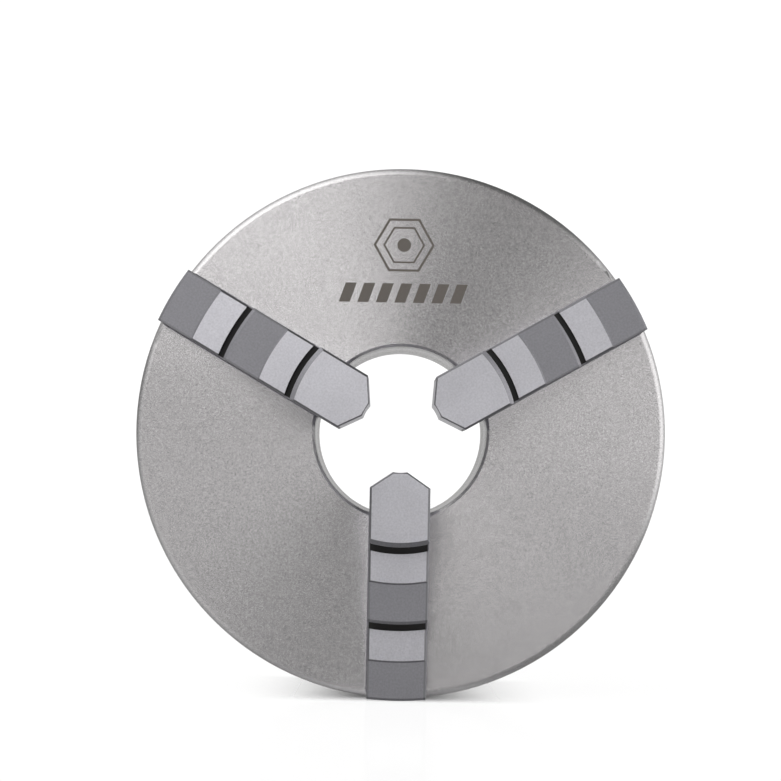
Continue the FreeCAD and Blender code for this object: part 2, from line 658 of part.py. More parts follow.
# ---------------------------------------------------------------- write every piece
def main():
    os.makedirs("parts", exist_ok=True)
    save("chuck_body", make_body())
    save("back_cover", make_cover())
    save("scroll_plate", make_scroll())
    pinion = make_pinion()
    screw = locating_screw()
    for number, angle in enumerate(PINION_ANGLES, 1):
        save("drive_pinion_%d" % number, turned(pinion, angle))
        save("pinion_locating_screw_%d" % number, turned(screw, angle))
    for number, angle in enumerate(JAW_ANGLES, 1):
        save("jaw_%d" % number, make_jaw(angle))
    for number, angle in enumerate(COVER_SCREW_ANGLES, 1):
        save("cover_screw_%d" % number, turned(cover_screw(), angle))
    for number, angle in enumerate(DOWEL_ANGLES, 1):
        save("cover_dowel_%d" % number, turned(cover_dowel(), angle))


main()
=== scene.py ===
"""Finishes and stage for a three-jaw self-centring scroll chuck.

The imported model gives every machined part. This file gives each part its procedural finish,
cuts the visible threads of the tapped holes as new pieces, and sets up a plain white studio.
All lengths are in metres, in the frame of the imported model: the spindle axis runs along Y
through the origin, the front face looks along -Y, and Z is up.
"""

import json
import math

import bpy
import numpy as np
from mathutils import Matrix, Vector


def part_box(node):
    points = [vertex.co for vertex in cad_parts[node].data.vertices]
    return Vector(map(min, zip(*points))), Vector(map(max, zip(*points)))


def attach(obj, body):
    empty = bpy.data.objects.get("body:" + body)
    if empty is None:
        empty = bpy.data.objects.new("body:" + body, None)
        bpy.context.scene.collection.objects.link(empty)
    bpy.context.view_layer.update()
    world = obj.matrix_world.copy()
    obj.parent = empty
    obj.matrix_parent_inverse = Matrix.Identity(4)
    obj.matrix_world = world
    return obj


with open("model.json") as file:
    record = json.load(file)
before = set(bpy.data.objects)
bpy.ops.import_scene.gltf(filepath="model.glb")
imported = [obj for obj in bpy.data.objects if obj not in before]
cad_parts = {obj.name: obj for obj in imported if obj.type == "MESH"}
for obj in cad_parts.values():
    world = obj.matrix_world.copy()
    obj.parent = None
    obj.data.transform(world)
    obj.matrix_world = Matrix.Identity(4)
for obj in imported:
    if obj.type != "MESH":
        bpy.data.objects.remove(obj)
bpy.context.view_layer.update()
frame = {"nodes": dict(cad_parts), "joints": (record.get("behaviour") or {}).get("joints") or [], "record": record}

bl_info = {
    "name": "Scroll chuck finishes",
    "version": (1, 0, 0),
    "blender": (4, 5, 0),
    "location": "View3D > Sidebar > Chuck",
    "description": "Ground, turned and blackened finishes for a scroll chuck, with its threads and stage",
    "category": "Object",
}

MM = 0.001
BODY_LOW, BODY_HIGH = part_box("chuck_body")
FACE_Y = BODY_LOW.y
REAR_Y = BODY_HIGH.y
COVER_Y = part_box("back_cover")[1].y
RECORD_MOUNTS = {mount["name"]: mount for mount in frame["record"]["mounts"]}


def slide_angle(number):
    """Angle of a jaw about the spindle axis, from the direction of its slide."""
    axes = {joint["name"]: joint["axis"] for joint in frame["joints"]}
    axis = axes["jaw_%d_slide" % number]
    return math.atan2(axis[2], axis[0])


JAW_ANGLES = [slide_angle(number) for number in (1, 2, 3)]


# ------------------------------------------------------------------ sizes and colours to change
def distance(name, description, default):
    """A length property in metres."""
    return bpy.props.FloatProperty(name=name, description=description, default=default,
                                   subtype="DISTANCE", unit="LENGTH", precision=5)


def colour(name, description, default):
    """A linear colour property."""
    return bpy.props.FloatVectorProperty(name=name, description=description, default=default,
                                         subtype="COLOR", size=3, min=0.0, max=1.0)


def factor(name, description, default):
    """A property from 0 to 1."""
    return bpy.props.FloatProperty(name=name, description=description, default=default,
                                   min=0.0, max=1.0, subtype="FACTOR")


def brightness(name, description, default):
    """A light level, where 1 is white."""
    return bpy.props.FloatProperty(name=name, description=description, default=default, min=0.0)


class ChuckMarkSizes(bpy.types.PropertyGroup):
    """The plain mark etched on the front face: two nested hexagons over a row of bars."""

    emblem_height: distance("Emblem height", "Height of the hexagon's centre above the axis", 70.8 * MM)
    emblem_radius: distance("Emblem radius", "Distance from the hexagon's centre to its sides", 9.6 * MM)
    line_width: distance("Line width", "Width of the etched lines of the hexagon", 0.9 * MM)
    bars_height: distance("Bars height", "Height of the row of bars above the axis", 52.6 * MM)
    bars_length: distance("Bars length", "Length of the row of bars", 49.0 * MM)
    bar_size: distance("Bar size", "Height of each bar", 7.3 * MM)
    bar_pitch: distance("Bar pitch", "Distance from one bar to the next", 7.0 * MM)
    bar_width: factor("Bar width", "Part of the pitch that a bar fills", 0.6)
    bar_slant: factor("Bar slant", "How far a bar leans for each metre of its height", 0.35)
    inner_hexagon: factor("Inner hexagon", "Size of the inner hexagon beside the outer one", 0.68)
    dot: factor("Dot", "Size of the dot beside the outer hexagon", 0.27)


class ChuckBodyZones(bpy.types.PropertyGroup):
    """Where the body's darker colours lie: the milled slot walls and the bore, both with painted shade."""

    slot_half_width: distance("Slot half width", "Half the width of a jaw slot", 11.2 * MM)
    slot_floor: distance("Slot floor", "Y of the floor of the jaw slots", -41.0 * MM)
    bore: distance("Bore", "Radius that the bore's wall lies within", 32.6 * MM)
    # The bore's lip and its band are painted shade, not wear: darker colour laid where the bore is in shade.
    lip_shade: distance("Bore lip", "Depth of the darker mouth of the bore", 12.0 * MM)
    shade_band_start: distance("Band start", "Depth where the bore's worn band starts", 32.0 * MM)
    shade_band_end: distance("Band end", "Depth where the bore's worn band ends", 52.0 * MM)


class ChuckJawSteps(bpy.types.PropertyGroup):
    """Radii of the jaw's steps from the spindle axis at rest, and the heights of its seats."""

    first_wall: distance("First wall", "Radius of the tall step's outer wall", 42.1 * MM)
    first_seat: distance("First seat", "Radius where the middle step's ground seat starts", 45.0 * MM)
    first_land: distance("First land", "Radius where the middle step's dark land starts", 55.65 * MM)
    second_wall: distance("Second wall", "Radius of the middle step's outer wall", 70.8 * MM)
    second_seat: distance("Second seat", "Radius where the low step's ground seat starts", 74.0 * MM)
    second_land: distance("Second land", "Radius where the low step's dark land starts", 85.15 * MM)
    middle_height: distance("Middle height", "Height of the middle seat above the face", 22.0 * MM)
    low_height: distance("Low height", "Height of the low seat above the face", 10.0 * MM)
    top_height: distance("Top height", "Height of the tall step above the face", 34.0 * MM)
    tip: distance("Tip", "Radius of the gripping tip", 15.0 * MM)
    tip_flat: distance("Tip flat", "Half the width of the tip's flat", 2.65 * MM)
    tip_chamfer: distance("Tip chamfer", "Chamfer round the tip's top edge", 0.5 * MM)
    tip_lean: factor("Tip lean", "Part of the tip's slanted face that lies across the jaw", 0.826)
    tip_slant: factor("Tip slant", "Part of the tip's slanted face that lies along the jaw", 0.564)
    half_width: distance("Half width", "Half the width of the jaw", 11.0 * MM)
    chamfer: distance("Chamfer", "Chamfer along the long top edges", 0.8 * MM)
    wall_chamfer: distance("Wall chamfer", "Chamfer along the tall step's outer wall", 1.65 * MM)
    slope: distance("Slope", "How far the lands lie below the seats", 1.8 * MM)
    groove: distance("Groove depth", "Depth of the relief grooves", 3.0 * MM)


class ChuckColours(bpy.types.PropertyGroup):
    """Colours of the finishes. The slot and relief groove colours are darker as painted shade."""

    face: colour("Body face", "Ground cast iron of the body", (0.585, 0.572, 0.58))
    rim: colour("Body rim", "Turned rim and bore of the body", (0.56, 0.552, 0.56))
    # The slot walls are milled; their darker colour is painted shade in the slots.
    slot: colour("Slots", "Milled walls inside the jaw slots", (0.30, 0.30, 0.30))
    etch: colour("Etched mark", "Laser-etched mark on the face", (0.10, 0.086, 0.073))
    seat: colour("Jaw seat", "Ground surfaces of the jaws", (0.645, 0.64, 0.685))
    land: colour("Jaw land", "Darker heat-treated lands of the jaws", (0.285, 0.283, 0.305))
    # This colour also darkens the mouth of the bore as painted shade.
    edge: colour("Jaw edges", "Milled chamfers along the jaws' top edges", (0.13, 0.13, 0.135))
    # The near-black groove colour is painted shade in the relief grooves.
    groove: colour("Relief groove", "Blackened relief grooves of the jaws", (0.018, 0.017, 0.017))
    machined: colour("Machined steel", "Scroll plate and drive pinions", (0.46, 0.46, 0.47))
    cover: colour("Cover", "Turned cast iron of the back cover", (0.47, 0.465, 0.46))
    oxide: colour("Black oxide", "Screws", (0.028, 0.028, 0.032))


class ChuckGloss(bpy.types.PropertyGroup):
    """Roughness of the finishes."""

    face: factor("Face roughness", "Roughness of the ground face", 0.24)
    rocking: bpy.props.FloatProperty(name="Tool marks", description="How far turning rocks the normals",
                                     default=1.15, min=0.0)
    jaw_rocking: bpy.props.FloatProperty(name="Jaw tool marks", default=0.62, min=0.0,
                                         description="How far grinding rocks the jaws' normals")
    seat: factor("Seat roughness", "Roughness of the jaws' ground surfaces", 0.32)
    land: factor("Land roughness", "Roughness of the jaws' dark lands", 0.42)
    turned: factor("Turned roughness", "Roughness of turned and milled surfaces", 0.33)
    oxide: factor("Oxide roughness", "Roughness of the black screws", 0.42)


class ChuckThreads(bpy.types.PropertyGroup):
    """Threads of the tapped holes that show from behind."""

    mounting_pitch: distance("M10 pitch", "Pitch of the mounting threads", 1.5 * MM)
    mounting_depth: distance("M10 depth", "Depth of the mounting threads", 22.0 * MM)
    mounting_mouth: distance("M10 mouth", "Chamfer before the mounting threads start", 1.0 * MM)
    jacking_pitch: distance("M6 pitch", "Pitch of the jacking threads in the cover", 1.0 * MM)
    jacking_depth: distance("M6 depth", "Depth of the jacking threads", 9.0 * MM)
    jacking_mouth: distance("M6 mouth", "Chamfer before the jacking threads start", 0.7 * MM)
    jacking_radius: distance("M6 radius", "Tapping radius of the jacking threads", 2.5 * MM)
    jacking_circle: distance("M6 circle", "Radius of the circle of jacking threads", 66.0 * MM)
    crest: distance("Crest height", "How far the thread crests stand into the hole", 0.28 * MM)


class ChuckStudio(bpy.types.PropertyGroup):
    """Camera and light."""

    camera: bpy.props.FloatVectorProperty(name="Camera", description="Place of the camera", size=3,
                                          default=(-4.57 * MM, -893.2 * MM, -11.88 * MM),
                                          subtype="TRANSLATION", unit="LENGTH")
    pitch: bpy.props.FloatProperty(name="Pitch", description="How far the camera looks up",
                                   default=math.radians(1.93), subtype="ANGLE", unit="ROTATION")
    yaw: bpy.props.FloatProperty(name="Yaw", description="How far the camera looks towards +X",
                                 default=math.radians(0.03), subtype="ANGLE", unit="ROTATION")
    roll: bpy.props.FloatProperty(name="Roll", description="How far the camera's right side is raised",
                                  default=math.radians(1.09), subtype="ANGLE", unit="ROTATION")
    lens: bpy.props.FloatProperty(name="Lens", description="Focal length in millimetres on a 36 mm sensor",
                                  default=100.0, min=10.0)
    key: brightness("Key", "Brightness of the upper-left panel", 2.45)
    side: brightness("Side", "Brightness of the right-hand panel", 1.36)
    fill: brightness("Fill", "Brightness of the lower-left panel", 0.62)
    flags: brightness("Flags", "Brightness between the panels", 0.15)
    front: brightness("Front", "Brightness straight in front of the chuck", 0.03)
    back: brightness("Back", "Brightness straight behind the chuck", 0.65)
    floor: factor("Floor", "How solid the pale floor is", 0.25)


# ------------------------------------------------------------------ shader arithmetic
class Term:
    """A shader value used in arithmetic: each operator adds the Math node that it needs."""

    def __init__(self, tree, socket):
        self.tree = tree
        self.socket = socket

    def maths(self, operation, *others):
        return self.tree.maths(operation, self, *others)

    def __add__(self, other):
        return self.maths("ADD", other)

    __radd__ = __add__

    def __sub__(self, other):
        return self.maths("SUBTRACT", other)

    def __rsub__(self, other):
        return self.tree.maths("SUBTRACT", other, self)

    def __mul__(self, other):
        return self.maths("MULTIPLY", other)

    __rmul__ = __mul__

    def __truediv__(self, other):
        return self.maths("DIVIDE", other)

    def __abs__(self):
        return self.maths("ABSOLUTE")

    def __pow__(self, other):
        return self.maths("POWER", other)

    def least(self, other):
        return self.maths("MINIMUM", other)

    def greatest(self, other):
        return self.maths("MAXIMUM", other)


class NodeTree:
    """A shader node tree under construction."""

    def __init__(self, owner):
        owner.use_nodes = True
        self.tree = owner.node_tree
        self.tree.nodes.clear()

    def split(self, vector):
        """The three parts of a vector, ready for arithmetic."""
        parts = self.node("ShaderNodeSeparateXYZ", {}, {"Vector": vector})
        return [Term(self, parts.outputs[k]) for k in range(3)]

    def node(self, kind, settings=None, sockets=None):
        """Adds a node, makes its settings, then fills its sockets with values or links."""
        made = self.tree.nodes.new(kind)
        for name, value in (settings or {}).items():
            setattr(made, name, value)
        for key, value in (sockets or {}).items():
            if isinstance(value, Term):
                self.tree.links.new(value.socket, made.inputs[key])
            else:
                made.inputs[key].default_value = value
        return made

    def term(self, kind, settings=None, sockets=None, output=0):
        """As node, but returns one output ready for arithmetic."""
        return Term(self, self.node(kind, settings, sockets).outputs[output])

    def maths(self, operation, *values):
        return self.term("ShaderNodeMath", {"operation": operation}, dict(enumerate(values)))

    def rise(self, value, edge, soft):
        """0 below the edge and 1 above it, smoothly over soft on each side."""
        return self.term("ShaderNodeMapRange", {"interpolation_type": "SMOOTHSTEP"},
                         {"Value": value, "From Min": edge - soft, "From Max": edge + soft})

    def fall(self, value, edge, soft):
        """1 below the edge and 0 above it."""
        return 1.0 - self.rise(value, edge, soft)

    def within(self, value, low, high, soft):
        """1 between two edges."""
        return self.rise(value, low, soft) * self.fall(value, high, soft)

    def vector(self, x, y, z):
        return self.term("ShaderNodeCombineXYZ", {}, {"X": x, "Y": y, "Z": z})

    def vector_maths(self, operation, **sockets):
        """A Vector Math node, with its sockets given as first, second and scale."""
        places = {"first": 0, "second": 1, "scale": 3}
        return self.term("ShaderNodeVectorMath", {"operation": operation},
                         {places[name]: value for name, value in sockets.items()})


class Finish(NodeTree):
    """A material under construction. Object coordinates come split as x, y, z in metres."""

    def __init__(self, name, turn=0.0):
        self.material = bpy.data.materials.new(name)
        super().__init__(self.material)
        self.unturned = self.term("ShaderNodeTexCoord", output="Object")
        self.place = self.term("ShaderNodeMapping", {"vector_type": "POINT"},
                               {"Vector": self.unturned, "Rotation": (0.0, turn, 0.0)})
        self.x, self.y, self.z = self.split(self.place)
        self.radius = (self.x * self.x + self.z * self.z) ** 0.5

    def noise(self, vector, scale, detail=2.0, roughness=0.5):
        """Fractal noise from 0 to 1 with features of about 1 / scale."""
        return self.term("ShaderNodeTexNoise", {"noise_dimensions": "3D"},
                         {"Vector": vector, "Scale": scale, "Detail": detail, "Roughness": roughness},
                         "Fac")

    def pits(self, scale, size):
        """Small round spots scattered one to a cell: 1 in a spot and 0 elsewhere."""
        cell = self.node("ShaderNodeTexVoronoi", {"feature": "F1", "distance": "EUCLIDEAN"},
                         {"Vector": self.place, "Scale": scale, "Randomness": 1.0})
        from_centre = Term(self, cell.outputs["Distance"])
        colour_out = Term(self, cell.outputs["Color"])
        chance = self.term("ShaderNodeSeparateColor", {}, {"Color": colour_out}, "Red")
        return self.fall(from_centre, size, size * 0.5) * self.rise(chance, 0.72, 0.1)

    def turning(self, along, fine, long=7.0):
        """Streaks left by a turning tool: fine across `along`, long round the spindle axis."""
        sweep = self.vector(along * fine, self.x / self.radius * long, self.z / self.radius * long)
        return self.noise(sweep, 1.0, 3.0, 0.62)

    def tool_normal(self, amount):
        """Normals rocked across the tool's circular path round the spindle axis.

        The path runs along (-z, 0, x) / radius. Its cross product with the surface normal is the
        direction across the path, and fine noise there spreads the reflections as turning does.
        """
        normal = self.term("ShaderNodeNewGeometry", output="Normal")
        x, _, z = self.split(self.unturned)
        path = self.vector(0.0 - z / self.radius, 0.0, x / self.radius)
        across = self.vector_maths("CROSS_PRODUCT", first=path, second=normal)
        rock = (self.noise(self.unturned, 24000.0, 0.0) - 0.5) * amount
        tilt = self.vector_maths("SCALE", first=across, scale=rock)
        rocked = self.vector_maths("ADD", first=normal, second=tilt)
        return self.vector_maths("NORMALIZE", first=rocked)

    def mix(self, fac, low, high):
        """Blends two colours by a factor."""
        sockets = {0: fac, 6: self.as_colour(low), 7: self.as_colour(high)}
        return self.term("ShaderNodeMix", {"data_type": "RGBA", "clamp_factor": True}, sockets, 2)

    def shade(self, tint, gain):
        """Multiplies a colour by a grey value."""
        grey = self.term("ShaderNodeCombineColor", {}, {"Red": gain, "Green": gain, "Blue": gain})
        sockets = {0: 1.0, 6: self.as_colour(tint), 7: grey}
        return self.term("ShaderNodeMix", {"data_type": "RGBA", "blend_type": "MULTIPLY"}, sockets, 2)

    def as_colour(self, tint):
        return tint if isinstance(tint, Term) else (*tint, 1.0)

    def bump(self, height, depth, normal=None):
        """Normal tilted by a height from 0 to 1 that stands for depth in metres."""
        sockets = {"Strength": 1.0, "Distance": depth, "Height": height}
        if normal is not None:
            sockets["Normal"] = normal
        return self.term("ShaderNodeBump", {}, sockets, "Normal")

    def close(self, base, roughness, metallic, normal=None):
        """Ends the material with one metal shader."""
        sockets = {"Base Color": base, "Roughness": roughness, "Metallic": metallic}
        if normal is not None:
            sockets["Normal"] = normal
        shader = self.node("ShaderNodeBsdfPrincipled", {}, sockets)
        output = self.node("ShaderNodeOutputMaterial")
        self.tree.links.new(shader.outputs["BSDF"], output.inputs["Surface"])
        return self.material


def dress(node_name, material):
    """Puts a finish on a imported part's own material slots."""
    part = frame["nodes"][node_name]
    for slot in part.material_slots:
        slot.material = material


# ------------------------------------------------------------------ finishes
def etched_mark(f, sizes):
    """Mask of the mark: two hexagon outlines, a dot, and a row of slanted bars.

    A point's distance to a hexagon is the greatest of its heights over the hexagon's three pairs
    of sides. A bar repeats each pitch along x - height * slant. The shift keeps that length
    positive over the face, and puts a bar in the middle of the row.
    """
    soft = 0.06 * MM
    shift = sizes.bar_pitch * 10.5
    z = f.z - sizes.emblem_height
    half_line = sizes.line_width / 2
    hexagon = (abs(f.x) * math.sin(math.pi / 3) + abs(z) * 0.5).greatest(abs(z))
    outer = f.fall(abs(hexagon - sizes.emblem_radius), half_line, soft)
    inner = f.fall(abs(hexagon - sizes.emblem_radius * sizes.inner_hexagon), half_line * 0.8, soft)
    dot = f.fall((f.x * f.x + z * z) ** 0.5, sizes.emblem_radius * sizes.dot, soft)
    height = f.z - sizes.bars_height
    lean = f.x - height * sizes.bar_slant
    pitch = sizes.bar_pitch
    along = f.maths("MODULO", lean + shift, pitch) - pitch / 2
    bars = f.fall(abs(along), pitch * sizes.bar_width / 2, soft)
    bars = bars * f.fall(abs(height), sizes.bar_size / 2, soft)
    bars = bars * f.fall(abs(lean), sizes.bars_length / 2, soft)
    return outer.greatest(inner).greatest(dot).greatest(bars)


def slot_mask(f, zones):
    """1 on the walls of the three jaw slots, which run outwards from the axis at the jaws' angles."""
    sharp = 0.05 * MM
    lateral = 0.0
    for angle in JAW_ANGLES:
        along = f.x * math.cos(angle) + f.z * math.sin(angle)
        across = abs(f.x * math.sin(angle) - f.z * math.cos(angle))
        near = f.fall(across, zones.slot_half_width, 0.04 * MM) * f.rise(along, 0.0, 1 * MM)
        lateral = near.greatest(lateral)
    depth = f.rise(f.y, FACE_Y + 0.5 * MM, sharp) * f.fall(f.y, zones.slot_floor, 0.5 * MM)
    return lateral * depth * f.fall(f.radius, BODY_HIGH.x - 0.4 * MM, 0.1 * MM)


def body_finish(scene):
    """Ground face with faint turning marks and tiny pits, turned rim and bore, with painted shade darkening the
    slots and the bore.
    """
    tints, gloss, zones = scene.chuck_colours, scene.chuck_gloss, scene.chuck_zones
    f = Finish("body_ground_iron")
    on_face = f.fall(f.y, FACE_Y + 0.1 * MM, 0.05 * MM)
    in_slot = slot_mask(f, zones)
    # Masks of painted shade in the bore: the whole wall, its mouth and a deeper band.
    in_bore = f.fall(f.radius, zones.bore, 0.05 * MM)
    lip_shade = in_bore * f.fall(f.y, FACE_Y + zones.lip_shade, 5 * MM)
    band = in_bore * f.within(f.y, FACE_Y + zones.shade_band_start, FACE_Y + zones.shade_band_end, 5 * MM)
    mark = etched_mark(f, scene.chuck_mark) * on_face
    grain = f.noise(f.place, 1350.0, 1.0, 0.6)
    clouds = f.noise(f.place, 60.0, 3.0, 0.55)
    specks = f.pits(1000.0, 0.26)
    streaks = f.turning(f.radius, 1500.0) * on_face + f.turning(f.y, 2100.0) * (1.0 - on_face)
    gain = 0.745 + grain * 0.43 + clouds * 0.06 + streaks * 0.04 - specks * 0.18
    base = f.mix(on_face, tints.rim, tints.face)
    # Painted shade: the milled slot walls are darkened.
    base = f.mix(in_slot, base, tints.slot)
    # Painted shade in the bore: its mouth is mixed towards the jaws' edge colour, its whole wall is 16% darker,
    # and the deeper band darker again.
    base = f.mix(lip_shade * 0.6, base, tints.edge)
    base = f.shade(base, gain * (1.0 - in_bore * 0.16 - band * 0.2))
    base = f.mix(mark * 0.94, base, tints.etch)
    roughness = gloss.face - 0.03 + grain * 0.05 + mark * 0.22 + in_slot * 0.12
    height = grain * 0.6 + streaks * 0.3 - specks * 0.4 - mark * 0.5
    rocked = f.tool_normal(gloss.rocking * (1.0 - in_slot) * (1.0 - mark))
    return f.close(base, roughness, 1.0 - mark * 0.75, f.bump(height, 0.006 * MM, rocked))


def jaw_edges(f, steps):
    """Masks of the milled chamfers: those along the sides and the tip, and the tall step's wall.

    The tip's chamfer is a band inside the wedge of the tip's flat and its two slanted faces.
    """
    sharp = 0.01 * MM
    top_y = FACE_Y - steps.top_height
    sides = f.within(abs(f.z), steps.half_width - steps.chamfer, steps.half_width - 2 * sharp, sharp)
    wedge = (f.x - steps.tip) * steps.tip_lean - (abs(f.z) - steps.tip_flat) * steps.tip_slant
    tip = f.within(wedge.least(f.x - steps.tip), 2 * sharp, steps.tip_chamfer, sharp)
    tip = tip * f.fall(f.y, top_y + steps.tip_chamfer, sharp)
    wall = f.within(f.radius, steps.first_wall - steps.wall_chamfer, steps.first_wall - 0.05 * MM,
                    0.02 * MM)
    wall = wall * f.fall(f.y, top_y + 1.3 * MM, 0.05 * MM)
    above_face = f.fall(f.y, FACE_Y - 1 * MM, 1 * MM)
    return sides.greatest(tip).greatest(wall) * above_face, wall


def jaw_step(f, seat_y, land, wall, groove_end, steps):
    """Masks of one step: its dark land from radius `land` outwards, and its groove after `wall`."""
    soft = 0.05 * MM
    flat = f.within(f.y, seat_y - 0.2 * MM, seat_y + steps.slope, soft)
    groove = f.within(f.radius, wall - soft, groove_end + soft, soft)
    groove = groove * f.within(f.y, seat_y + 0.1 * MM, seat_y + steps.groove, soft)
    return f.rise(f.radius, land, soft) * flat, groove


def jaw_finish(scene, number, angle):
    """Ground tip and seats, dark lands and relief grooves painted black as shade, placed by the jaw's own radii;
    the part inside the body is painted darker as shade.
    """
    tints, gloss, steps = scene.chuck_colours, scene.chuck_gloss, scene.chuck_steps
    f = Finish("jaw_%d_steel" % number, angle)
    soft = 0.05 * MM
    on_top = f.fall(abs(f.z), steps.half_width - steps.chamfer * 0.5, soft)
    edges, wall_edge = jaw_edges(f, steps)
    middle_land, first_groove = jaw_step(f, FACE_Y - steps.middle_height, steps.first_land,
                                         steps.first_wall, steps.first_seat, steps)
    middle_land = middle_land * f.fall(f.radius, steps.second_wall + soft, soft)
    low_land, second_groove = jaw_step(f, FACE_Y - steps.low_height, steps.second_land,
                                       steps.second_wall, steps.second_seat, steps)
    land = (middle_land.greatest(low_land) * on_top).greatest(edges)
    groove = first_groove.greatest(second_groove) * on_top
    # Painted shade: the jaw is darker where it sits inside the body, behind the face.
    below = f.rise(f.y, FACE_Y + 1 * MM, 1 * MM)
    grain = f.noise(f.place, 1350.0, 1.0, 0.6)
    clouds = f.noise(f.place, 110.0, 2.0, 0.5)
    grinding = f.noise(f.vector(f.x * 90.0, f.y * 2600.0, f.z * 2600.0), 1.0, 3.0, 0.6)
    gain = 0.76 + grain * 0.34 + clouds * 0.08 + grinding * 0.06 - below * 0.22
    base = f.shade(f.mix(land, tints.seat, tints.land), gain)
    base = f.mix(edges * (1.0 - wall_edge) * 0.4, base, tints.edge)
    # Painted shade: the relief grooves go near-black.
    base = f.mix(groove, base, tints.groove)
    roughness = gloss.seat + clouds * 0.04 + land * (gloss.land - gloss.seat) + groove * 0.3
    height = grinding * (1.0 - land) * 0.3 + grain * 0.4
    rocked = f.tool_normal(gloss.jaw_rocking * (1.0 - groove) * (1.0 - land * 0.5) * (1.0 - below))
    return f.close(base, roughness, 1.0 - groove * 0.7, f.bump(height, 0.004 * MM, rocked))


def machined_finish(scene, name):
    """Hobbed and turned steel, mottled by a thin film of oil."""
    tints, gloss = scene.chuck_colours, scene.chuck_gloss
    f = Finish(name)
    grain = f.noise(f.place, 2200.0, 3.0, 0.6)
    clouds = f.noise(f.place, 140.0, 3.0, 0.6)
    rings = f.turning(f.radius + f.y, 2300.0)
    gain = 0.82 + grain * 0.10 + clouds * 0.16 + rings * 0.12
    roughness = gloss.turned - 0.04 + grain * 0.06 + clouds * 0.10
    height = rings * 0.7 + grain * 0.3
    return f.close(f.shade(tints.machined, gain), roughness, 1.0, f.bump(height, 0.008 * MM))


def cover_finish(scene):
    """Faced cast iron: fine concentric tool marks and small pits."""
    tints, gloss = scene.chuck_colours, scene.chuck_gloss
    f = Finish("cover_turned_iron")
    grain = f.noise(f.place, 2000.0, 3.0, 0.7)
    clouds = f.noise(f.place, 60.0, 3.0, 0.6)
    rings = f.turning(f.radius, 1900.0)
    pits = f.pits(900.0, 0.26)
    gain = 0.76 + grain * 0.16 + clouds * 0.14 + rings * 0.22 - pits * 0.14
    roughness = gloss.turned + grain * 0.10 + clouds * 0.06
    height = rings * 0.8 + grain * 0.3 - pits * 0.4
    rocked = f.tool_normal(gloss.rocking * 0.8)
    return f.close(f.shade(tints.cover, gain), roughness, 1.0, f.bump(height, 0.012 * MM, rocked))


def oxide_finish(scene):
    """Black oxide with fine grain, worn a little thin in small patches."""
    tints, gloss = scene.chuck_colours, scene.chuck_gloss
    f = Finish("black_oxide_steel")
    grain = f.noise(f.place, 3200.0, 3.0, 0.6)
    wear = f.rise(f.noise(f.place, 900.0, 4.0, 0.7), 0.62, 0.08)
    base = f.mix(wear * 0.5, tints.oxide, (0.12, 0.115, 0.11))
    roughness = gloss.oxide - 0.05 + grain * 0.14
    return f.close(base, roughness, 0.85, f.bump(grain, 0.006 * MM))


# ------------------------------------------------------------------ new pieces
def ring_mesh(name, points):
    """Mesh over a grid of points that closes on itself both ways, with its faces outwards."""
    rows, columns = points.shape[:2]
    index = np.arange(rows * columns).reshape(rows, columns)
    down = np.roll(index, -1, axis=0)
    right = np.roll(index, -1, axis=1)
    corner = np.roll(down, -1, axis=1)
    faces = np.stack([index, down, corner, right], axis=-1).reshape(-1, 4)
    flat = points.reshape(-1, 3)
    a, b, c = flat[faces[:, 0]], flat[faces[:, 1]], flat[faces[:, 2]]
    if np.einsum("ij,ij->i", a, np.cross(b, c)).sum() < 0:
        faces = faces[:, ::-1]
    mesh = bpy.data.meshes.new(name)
    mesh.from_pydata(flat.tolist(), [], faces.tolist())
    mesh.polygons.foreach_set("use_smooth", np.ones(len(mesh.polygons), bool))
    mesh.update()
    piece = bpy.data.objects.new(name, mesh)
    bpy.context.scene.collection.objects.link(piece)
    return piece


def thread_sleeve(name, centre, mouth_y, depth, radius, pitch, crest):
    """The thread of a tapped hole as a thin closed sleeve that lines it.

    At angle t and depth s the inner wall stands at
    radius - skin - crest * fade * (1 - |2 * frac(s / pitch - t / turn) - 1|),
    where fade grows from 0 to 1 over one pitch at each end. The outer wall is a plain
    cylinder just inside the hole, and the two walls join at both ends.
    """
    skin = 0.03 * MM
    around = 40
    rings_per_turn = 8
    along = int(round(depth / pitch * rings_per_turn))
    t = np.linspace(0.0, 2 * math.pi, around, endpoint=False)[None, :]
    s = np.linspace(0.0, depth, along)[:, None]
    phase = np.mod(s / pitch - t / (2 * math.pi), 1.0)
    profile = 1.0 - np.abs(2 * phase - 1.0)
    fade = np.clip(np.minimum(s, depth - s) / pitch, 0.0, 1.0)
    inner = radius - skin - crest * fade * profile
    outer = np.full((2, around), radius - skin / 3)
    wall = np.concatenate([inner, outer])
    deep = np.concatenate([s[:, 0], [depth, 0.0]])[:, None] + 0.0 * t
    x = centre[0] + wall * np.cos(t)
    y = mouth_y - deep
    z = centre[1] + wall * np.sin(t)
    return ring_mesh(name, np.stack([x, y, z], axis=-1))


def on_circle(radius, angle):
    """The x and z of a point on a circle round the spindle axis."""
    return radius * math.cos(angle), radius * math.sin(angle)


# ------------------------------------------------------------------ stage
def look_matrix(studio):
    """Rotation whose columns are the camera's right, up and back directions."""
    pitch, yaw, roll = studio.pitch, studio.yaw, studio.roll
    forward = np.array([math.sin(yaw) * math.cos(pitch), math.cos(yaw) * math.cos(pitch), math.sin(pitch)])
    right = np.array([math.cos(yaw), -math.sin(yaw), 0.0])
    up = np.cross(right, forward)
    level = right * math.cos(roll) + up * math.sin(roll)
    upright = -right * math.sin(roll) + up * math.cos(roll)
    return np.column_stack([level, upright, -forward])


def add_camera(studio):
    """The main camera, placed by its own right, up and back directions."""
    lens = bpy.data.cameras.new("studio_camera")
    lens.lens = studio.lens
    lens.sensor_width = 36.0
    lens.clip_end = 50.0
    camera = bpy.data.objects.new("studio_camera", lens)
    matrix = np.eye(4)
    matrix[:3, :3] = look_matrix(studio)
    matrix[:3, 3] = studio.camera
    camera.matrix_world = Matrix(matrix.tolist())
    bpy.context.scene.collection.objects.link(camera)
    bpy.context.scene.camera = camera


